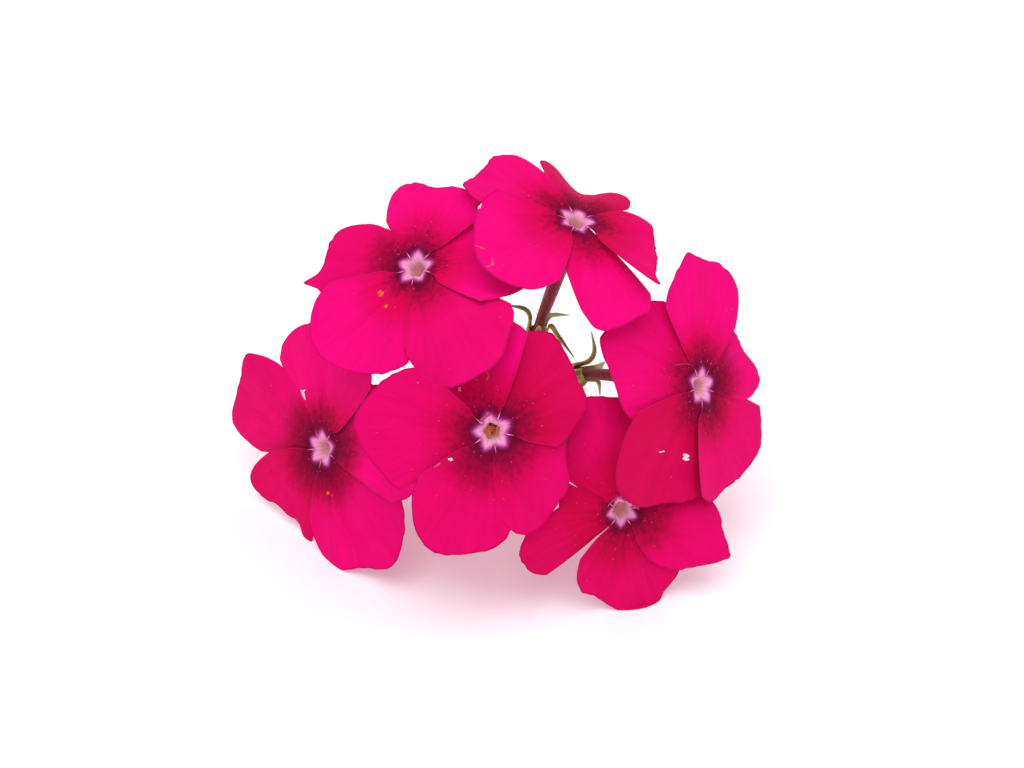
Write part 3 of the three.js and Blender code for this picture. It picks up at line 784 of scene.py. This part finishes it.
def calyx(name, flower, number, materials):
    """A thin-walled cup with a rib under each sepal, dipping at its mouth between them."""
    mouth = FORK + flower["mouth"]
    axes = facing_along(np.array(flower["mouth"]))
    sheet = Sheet()
    sides = 80
    angle = np.arange(sides) / sides * math.tau
    turns = np.radians([shape["turn"] for shape in flower["sepals"]])
    gap = np.abs((angle[:, None] - turns[None] + math.pi) % math.tau - math.pi).min(1)
    rib = np.exp(-((gap / CALYX_RIB["width"]) ** 2))
    length = CALYX["length"]
    outer = CALYX["outer"]
    heights = np.linspace(0, 1, 22)
    profile = [0.45, CALYX["base"], outer * 0.9, outer, outer * 0.98]
    body = np.interp(heights, [0, 0.05, 0.2, 0.5, 1], profile)
    dip = CALYX_RIB["dip"] * smooth(0.55, 1, heights)[:, None] * (1 - rib)[None]
    outside_height = heights[:, None] * length - length - dip * smooth(0.1, 0.5, gap)[None]
    outside_radius = body[:, None] * (0.95 + CALYX_RIB["height"] * rib)[None]
    inside_radius = np.maximum(outside_radius[::-1] - CALYX_RIB["wall"], 0.2)
    inside_height = np.maximum(outside_height[::-1], CALYX["floor"] - length)
    ring_radius = np.concatenate([outside_radius, inside_radius])
    ring_height = np.concatenate([outside_height, inside_height])
    ring = np.stack([ring_radius * np.cos(angle), ring_radius * np.sin(angle), ring_height], -1)
    points = mouth + ring.reshape(-1, 3) @ axes
    share = np.concatenate([heights, heights[::-1]])
    rows = len(share)
    along = np.stack([np.repeat(share, sides), np.tile(rib, rows), np.zeros(rows * sides)], -1)
    sheet.add(points, skin_faces(rows, sides), 0, along=along)
    for shape in flower["sepals"]:
        add_sepal(sheet, axes, mouth, shape, outer)
    rng = np.random.default_rng(300 + number)
    rings = points.reshape(-1, sides, 3)[: len(heights)]
    around = unit(rings - rings.mean(1, keepdims=True))
    add_hairs(sheet, rng, rings, around, "calyx")
    add_piece(f"calyx_{name}", sheet, materials, f"calyx_{name}", sharp=50)


# ---- Stem ----
def stem(materials):
    """The ridged peduncle and a pedicel to each calyx, flattened where they lie on the surface."""
    sheet = Sheet()
    rng = np.random.default_rng(400)
    route = FORK + catmull_rom(PEDUNCLE_ROUTE, np.linspace(0, 1, 90))
    girth = np.linspace(PEDUNCLE["fork"], PEDUNCLE["cut"], 90)
    girth[:6] *= np.sqrt(np.linspace(0.15, 1, 6))
    rings, around = add_tube(sheet, route, girth, 48, ridges=0.035, ridge_count=6)
    add_hairs(sheet, rng, rings, around, "peduncle")
    for flower in FLOWERS.values():
        mouth = np.array(flower["mouth"])
        end = mouth - unit(mouth) * (CALYX["length"] + PEDICEL_GAP)
        start = np.array([0, 1.2, -0.4])
        share = np.linspace(0, 1, 30)
        t = share[:, None]
        line = FORK + (1 - t) ** 2 * start + 2 * (1 - t) * t * (end * 0.3) + t**2 * end
        swell = (PEDICEL["cup"] - PEDICEL["end"]) * smooth(0.7, 1, share)
        radii = lerp(PEDICEL["start"], PEDICEL["end"], share) + swell
        rings, around = add_tube(sheet, line, radii, 24, ridges=0.03, ridge_count=5)
        add_hairs(sheet, rng, rings[4:], around[4:], "pedicel")
    for part in sheet.points:
        part[:, 2] = np.maximum(part[:, 2], 0.0)
    add_piece("stem_truss", sheet, materials, "stem", sharp=50)


# ---- Materials ----
def colour(red, green, blue):
    """A linear colour from the 0 to 255 values that a screen shows."""
    channels = [value / 255 for value in (red, green, blue)]
    return (*[c / 12.92 if c <= 0.04045 else ((c + 0.055) / 1.055) ** 2.4 for c in channels], 1.0)


class Paint:
    """A Principled material and short ways to add the nodes that drive it."""

    def __init__(self, name, **sockets):
        self.material = bpy.data.materials.new(name)
        self.material.use_nodes = True
        self.tree = self.material.node_tree
        self.shader = next(n for n in self.tree.nodes if n.type == "BSDF_PRINCIPLED")
        for socket, value in sockets.items():
            self.shader.inputs[socket.replace("_", " ")].default_value = value

    def add(self, kind, inputs, **settings):
        node = self.tree.nodes.new(kind)
        for key, value in settings.items():
            setattr(node, key, value)
        for key, value in inputs.items():
            if isinstance(value, bpy.types.NodeSocket):
                self.tree.links.new(value, node.inputs[key])
            else:
                node.inputs[key].default_value = value
        return node

    def field(self, name):
        """The three channels of a mesh attribute."""
        vector = self.add("ShaderNodeAttribute", {}, attribute_name=name).outputs["Vector"]
        split = self.add("ShaderNodeSeparateXYZ", {0: vector}).outputs
        return split[0], split[1], split[2]

    def vector(self, x, y, z):
        return self.add("ShaderNodeCombineXYZ", {0: x, 1: y, 2: z}).outputs[0]

    def math(self, operation, *values):
        return self.add("ShaderNodeMath", dict(enumerate(values)), operation=operation).outputs[0]

    def step(self, value, low, high, first=0.0, last=1.0):
        """first where value is under low, last where it is over high, and a smooth change between."""
        ranges = {"Value": value, "From Min": low, "From Max": high, "To Min": first, "To Max": last}
        return self.add("ShaderNodeMapRange", ranges, interpolation_type="SMOOTHSTEP").outputs[0]

    def noise(self, vector, scale, detail=3.0, roughness=0.5):
        inputs = {"Vector": vector, "Scale": scale, "Detail": detail, "Roughness": roughness}
        return self.add("ShaderNodeTexNoise", inputs).outputs["Fac"]

    def place(self):
        """Where a point is in the frame, in millimetres."""
        where = self.add("ShaderNodeTexCoord", {}).outputs["Object"]
        return self.add("ShaderNodeVectorMath", {0: where, "Scale": 1 / MM}, operation="SCALE").outputs[0]

    def mix(self, share, first, last, blend="MIX"):
        inputs = {0: share, 6: first, 7: last}
        return self.add("ShaderNodeMix", inputs, data_type="RGBA", blend_type=blend).outputs[2]

    def two_tone(self, value, first, last, low=0.35, high=0.65):
        """The first colour where value is low, the last where it is high."""
        return self.mix(self.step(value, low, high), colour(*first), colour(*last))

    def scale(self, shade, factor):
        """A colour made lighter or darker by a factor."""
        return self.mix(1.0, shade, self.vector(factor, factor, factor), "MULTIPLY")

    def drive(self, socket, value):
        self.tree.links.new(value, self.shader.inputs[socket])

    def bump(self, height, distance):
        node = self.add("ShaderNodeBump", {"Height": height, "Distance": distance * MM, "Strength": 1.0})
        self.drive("Normal", node.outputs[0])


ROOT = colour(96, 10, 43)
# painted light and shade: the lobes' crimson where shaded and magenta where lit, near the eye and far out
SHADED_LOBE = {"near": colour(180, 8, 55), "far": colour(194, 9, 68)}
LIT_LOBE = {"near": colour(206, 6, 72), "far": colour(240, 10, 126)}
HALO = colour(184, 56, 140)
STAR = colour(232, 150, 200)
STAR_INNER = colour(214, 158, 172)
THROAT_BROWN = colour(198, 134, 132)
THROAT_DARK = colour(118, 66, 48)


def spokes(paint, cosine, sine, radius, scale, stretch, shift):
    """Noise that is drawn out along the lines that run out from the eye, as veins are."""
    x = paint.math("MULTIPLY", cosine, scale)
    y = paint.math("MULTIPLY", sine, scale)
    z = paint.math("MULTIPLY_ADD", radius, stretch, shift)
    return paint.noise(paint.vector(x, y, z), 1.0, 4.0, 0.6)


def petal_face():
    """The upper side: lobes painted crimson where shaded and magenta where lit, with dark roots, round a
    pale star and the throat.
    """
    paint = Paint(
        "petal_face",
        Roughness=0.78,
        Specular_IOR_Level=0.06,
        Specular_Tint=(1.0, 0.1, 0.4, 1.0),
        Sheen_Weight=0.04,
        Sheen_Roughness=0.4,
        Sheen_Tint=(1.0, 0.02, 0.4, 1.0),
        Emission_Strength=1.0,
    )
    cosine, sine, radius = paint.field("spoke")
    side, edge, seed = paint.field("place")
    shift = paint.math("MULTIPLY", seed, 7.3)
    veins = spokes(paint, cosine, sine, radius, 9.0, 0.16, shift)
    fine_veins = spokes(paint, cosine, sine, radius, 26.0, 0.3, shift)
    clouds = paint.noise(paint.place(), 0.16, 2.0)

    painted_light, root, _ = paint.field("look")
    outer = paint.math("ADD", paint.step(radius, 3.5, 9.5), paint.step(clouds, 0.3, 0.7, -0.12, 0.12))
    # painted light and shade: each lobe mixes its shaded and lit colours by its own painted light
    near = paint.mix(painted_light, SHADED_LOBE["near"], LIT_LOBE["near"])
    far = paint.mix(painted_light, SHADED_LOBE["far"], LIT_LOBE["far"])
    base = paint.mix(outer, near, far)
    streak = paint.step(veins, 0.35, 0.65, 0.965, 1.03)
    fine_streak = paint.step(fine_veins, 0.3, 0.7, 0.97, 1.025)
    shade = paint.math("MULTIPLY", streak, fine_streak)
    base = paint.scale(base, shade)

    # the dark root of each lobe, which reaches farthest along its middle
    middle = paint.math("SUBTRACT", 1.0, paint.math("POWER", side, 2.4))
    fray = paint.step(veins, 0.3, 0.7, -0.2, 0.2)
    half = paint.math("MULTIPLY", root, paint.math("MULTIPLY_ADD", middle, 0.2, 0.88))
    end = paint.math("MAXIMUM", paint.math("MULTIPLY_ADD", half, 2.0, -2.0), 3.4)
    mottle = paint.step(paint.noise(paint.place(), 1.7, 3.0), 0.3, 0.7, -0.55, 0.55)
    marked = paint.math("ADD", paint.math("ADD", radius, fray), mottle)
    petal = paint.mix(paint.step(marked, 2.0, end), ROOT, base)

    # the pale star, with a point on each lobe
    point = paint.math("POWER", paint.math("SUBTRACT", 1.0, side), 1.3)
    ragged = paint.step(fine_veins, 0.3, 0.7, -0.14, 0.14)
    star_edge = paint.math("ADD", paint.math("MULTIPLY_ADD", point, 0.75, 1.62), ragged)
    beyond = paint.math("SUBTRACT", radius, star_edge)
    petal = paint.mix(paint.step(beyond, -0.3, 0.8, 0.85, 0.0), petal, HALO)
    petal = paint.mix(paint.step(beyond, -0.7, 0.35, 1.0, 0.0), petal, STAR)
    petal = paint.mix(paint.step(radius, 0.6, 1.7, 1.0, 0.0), petal, STAR_INNER)
    # painted shade in the grooves between the pleats round the throat
    pleat = paint.math("COSINE", paint.math("MULTIPLY", side, 9.4))
    crease_shade = paint.step(pleat, 0.2, 1.0, 0.0, 0.35)
    groove = paint.math("MULTIPLY", crease_shade, paint.step(radius, 1.2, 1.9, 1.0, 0.0))
    petal = paint.mix(groove, petal, colour(186, 104, 138))
    petal = paint.mix(paint.step(radius, -1.9, -0.5, 1.0, 0.0), petal, THROAT_BROWN)
    petal = paint.mix(paint.step(radius, -4.0, -1.8, 1.0, 0.0), petal, THROAT_DARK)

    # short pale streaks where two lobes part
    gap = paint.step(side, 0.94, 0.985)
    short = paint.math("MULTIPLY", paint.step(radius, 1.6, 2.0), paint.step(radius, 2.1, 2.9, 0.9, 0.0))
    petal = paint.mix(paint.math("MULTIPLY", gap, short), petal, colour(248, 176, 208))

    # a darker hem, and painted light along the side margins, for light that comes through the thin edges
    # where lobes overlap
    hem = paint.math("MULTIPLY", paint.step(edge, 0.04, 0.3, 0.45, 0.0), paint.step(radius, 2.5, 4.0))
    petal = paint.mix(hem, petal, colour(138, 6, 66))
    thin = paint.math("MULTIPLY", paint.step(side, 0.965, 0.995), paint.step(radius, 2.5, 4.0, 0.0, 0.3))
    petal = paint.mix(thin, petal, colour(250, 40, 124))
    paint.drive("Base Color", petal)

    # light that comes through from behind: a little of it through the lobes, more in the throat
    through = paint.mix(1.0, petal, (0.11, 0.11, 0.11, 1.0), "MULTIPLY")
    throat = paint.step(radius, -1.2, 1.0, 1.0, 0.0)
    paint.drive("Emission Color", paint.mix(throat, through, colour(132, 84, 84)))

    cells = paint.noise(paint.place(), 9.0, 2.0)
    height = paint.math("ADD", paint.math("MULTIPLY", cells, 0.3), fine_veins)
    paint.bump(height, 0.03)
    return paint.material


def petal_back():
    """The paler, duller underside, with its veins showing."""
    paint = Paint(
        "petal_back",
        Roughness=0.7,
        Specular_IOR_Level=0.15,
        Sheen_Weight=0.05,
        Sheen_Tint=colour(255, 110, 170),
    )
    cosine, sine, radius = paint.field("spoke")
    _, _, seed = paint.field("place")
    shift = paint.math("MULTIPLY", seed, 5.1)
    veins = spokes(paint, cosine, sine, radius, 13.0, 0.2, shift)
    base = paint.two_tone(veins, (176, 24, 78), (200, 44, 100))
    base = paint.mix(paint.step(radius, 1.5, 5.0, 1.0, 0.0), base, colour(170, 74, 92))
    paint.drive("Base Color", base)
    paint.bump(veins, 0.04)
    return paint.material


def petal_rim():
    """The thin edge between the two faces, darker than both."""
    paint = Paint("petal_rim", Roughness=0.5, Specular_IOR_Level=0.35)
    _, _, radius = paint.field("spoke")
    shade = paint.noise(paint.place(), 1.2, 2.0)
    base = paint.two_tone(shade, (132, 8, 62), (184, 16, 84))
    base = paint.mix(paint.step(radius, 2.2, 3.2, 1.0, 0.0), base, colour(214, 130, 162))
    paint.drive("Base Color", base)
    return paint.material


def fleck(name, shade):
    """A mark on a lobe: a colour that is a little uneven."""
    paint = Paint(name, Roughness=0.7, Specular_IOR_Level=0.2)
    cells = paint.noise(paint.place(), 6.0, 2.0)
    light = paint.step(cells, 0.3, 0.7, 0.85, 1.1)
    paint.drive("Base Color", paint.scale(colour(*shade), light))
    return paint.material


def lengthwise(paint, stretch, scale):
    """The share of the way along a tube, and streaks that run along it."""
    share, turn, _ = paint.field("along")
    height = paint.math("MULTIPLY", share, stretch)
    where = paint.vector(paint.math("SINE", turn), paint.math("COSINE", turn), height)
    return share, paint.noise(where, scale, 4.0, 0.6)


def tube_skin():
    """Dusky maroon-rose, streaked along its length and greener towards the calyx."""
    paint = Paint("tube_skin", Roughness=0.5, Specular_IOR_Level=0.35, Sheen_Weight=0.25)
    share, streaks = lengthwise(paint, 1.4, 4.0)
    base = paint.two_tone(streaks, (138, 48, 68), (166, 70, 88))
    base = paint.mix(paint.step(share, 0.1, 0.55, 1.0, 0.0), base, colour(150, 92, 84))
    base = paint.mix(paint.step(share, 0.86, 1.0), base, colour(176, 62, 100))
    paint.drive("Base Color", base)
    paint.bump(streaks, 0.05)
    return paint.material


def mottled(name, scale, first, last, **sockets):
    """A plain material whose colour wanders between two shades."""
    paint = Paint(name, **sockets)
    shade = paint.noise(paint.place(), scale)
    paint.drive("Base Color", paint.mix(shade, colour(*first), colour(*last)))
    return paint.material


def hair():
    sockets = {"Roughness": 0.4, "Specular_IOR_Level": 0.4, "Sheen_Weight": 0.3}
    return mottled("hair", 2.0, (214, 186, 178), (238, 222, 214), **sockets)


def filament():
    sockets = {"Roughness": 0.5, "Specular_IOR_Level": 0.4}
    return mottled("filament", 3.0, (196, 150, 120), (224, 196, 160), **sockets)


def sepal_green():
    """Green blades with pale margins, and pale skin between the calyx's green ribs."""
    paint = Paint("sepal_green", Roughness=0.5, Specular_IOR_Level=0.4, Sheen_Weight=0.15)
    share, across, blade = paint.field("along")
    clouds = paint.noise(paint.place(), 0.9, 3.0)
    green = paint.two_tone(clouds, (90, 118, 44), (128, 152, 64))
    green = paint.mix(paint.step(share, 0.35, 0.85, 1.0, 0.0), green, colour(196, 204, 84))
    margin = paint.mix(paint.step(across, 0.55, 0.9), green, colour(206, 212, 136))
    tip = paint.mix(paint.step(share, 0.92, 1.0), margin, colour(110, 84, 48))
    rib = paint.two_tone(across, (196, 200, 140), (112, 140, 58), 0.1, 0.6)
    cup = paint.mix(paint.step(share, 0.0, 0.35, 1.0, 0.0), rib, colour(122, 150, 66))
    paint.drive("Base Color", paint.mix(blade, cup, tip))
    paint.bump(paint.noise(paint.place(), 5.0, 3.0), 0.04)
    return paint.material


def stem_green():
    """Yellow-green, streaked along its length, with a dull red blush in places."""
    paint = Paint("stem_green", Roughness=0.48, Specular_IOR_Level=0.4, Sheen_Weight=0.15)
    _, streaks = lengthwise(paint, 2.0, 3.5)
    base = paint.two_tone(streaks, (104, 134, 58), (150, 170, 88))
    blush = paint.step(paint.noise(paint.place(), 0.5, 3.0), 0.5, 0.75, 0.0, 0.5)
    paint.drive("Base Color", paint.mix(blush, base, colour(140, 84, 70)))
    paint.bump(streaks, 0.06)
    return paint.material


def pollen():
    """Orange grains."""
    paint = Paint("pollen", Roughness=0.8, Specular_IOR_Level=0.2)
    grains = paint.noise(paint.place(), 14.0, 2.0)
    paint.drive("Base Color", paint.two_tone(grains, (196, 104, 30), (232, 150, 56), 0.4, 0.6))
    paint.bump(grains, 0.05)
    return paint.material


# ---- Stage, light and camera ----
def floor():
    """A white surface that the petals tint a little, with a faint pink glow of its own: painted light for
    the pink light that the petals let through into their shade.
    """
    paint = Paint("floor", Roughness=0.9, Specular_IOR_Level=0.1)
    paint.shader.inputs["Base Color"].default_value = (0.9, 0.9, 0.9, 1)
    # painted light: a faint pink glow over the whole floor
    paint.shader.inputs["Emission Color"].default_value = (1.0, 0.45, 0.72, 1)
    paint.shader.inputs["Emission Strength"].default_value = 0.27
    mesh = bpy.data.meshes.new("floor")
    half = 1.5
    corners = [(-half, -half, 0), (half, -half, 0), (half, half, 0), (-half, half, 0)]
    mesh.from_pydata(corners, [], [(0, 1, 2, 3)])
    mesh.materials.append(paint.material)
    ground = bpy.data.objects.new("floor", mesh)
    bpy.context.scene.collection.objects.link(ground)


def lights():
    """An even white surround and one large round lamp, overhead and a little to the front."""
    world = bpy.data.worlds.new("studio")
    world.use_nodes = True
    background = next(n for n in world.node_tree.nodes if n.type == "BACKGROUND")
    background.inputs["Color"].default_value = (1, 1, 1, 1)
    background.inputs["Strength"].default_value = 0.7
    bpy.context.scene.world = world
    light = bpy.data.lights.new("key", "AREA")
    light.shape = "DISK"
    light.size = 1.1
    light.energy = 6.6
    lamp = bpy.data.objects.new("key", light)
    lamp.location = (-0.03, -0.28, 1.05)
    aim = Vector((0, 0, 0.02)) - lamp.location
    lamp.rotation_euler = aim.to_track_quat("-Z", "Y").to_euler()
    bpy.context.scene.collection.objects.link(lamp)


def camera():
    """Looks along +Y, 32 degrees down, at a point beside the fork. One pixel is 0.125 mm there."""
    distance = 200
    elevation = math.radians(32)
    target = FORK - [1.0, 0.13, 0.21]
    place = target + distance * np.array([0, -math.cos(elevation), math.sin(elevation)])
    data = bpy.data.cameras.new("camera")
    data.lens = 56.25
    data.sensor_width = 36
    data.clip_start = 0.005
    data.clip_end = 10
    view = bpy.data.objects.new("camera", data)
    view.location = place * MM
    view.rotation_euler = (math.pi / 2 - elevation, 0, 0)
    bpy.context.scene.collection.objects.link(view)
    bpy.context.scene.camera = view


# ---- The whole scene ----
petal_materials = [
    petal_face(),
    petal_back(),
    petal_rim(),
    fleck("pale", (248, 214, 226)),
    fleck("faint", (232, 62, 120)),
    fleck("stray_pollen", (232, 92, 44)),
]
hairs = hair()
tube_materials = [tube_skin(), hairs]
calyx_materials = [sepal_green(), hairs]
stem_materials = [stem_green(), hairs]
anther_materials = [pollen(), filament()]

for number, (name, flower) in enumerate(FLOWERS.items()):
    complete(name, flower, number)
    petals(name, flower, petal_materials)
    corolla_tube(name, flower, number, tube_materials)
    anthers(name, flower, number, anther_materials)
    calyx(name, flower, number, calyx_materials)
stem(stem_materials)

floor()
lights()
camera()
bpy.context.scene.view_settings.view_transform = "Standard"
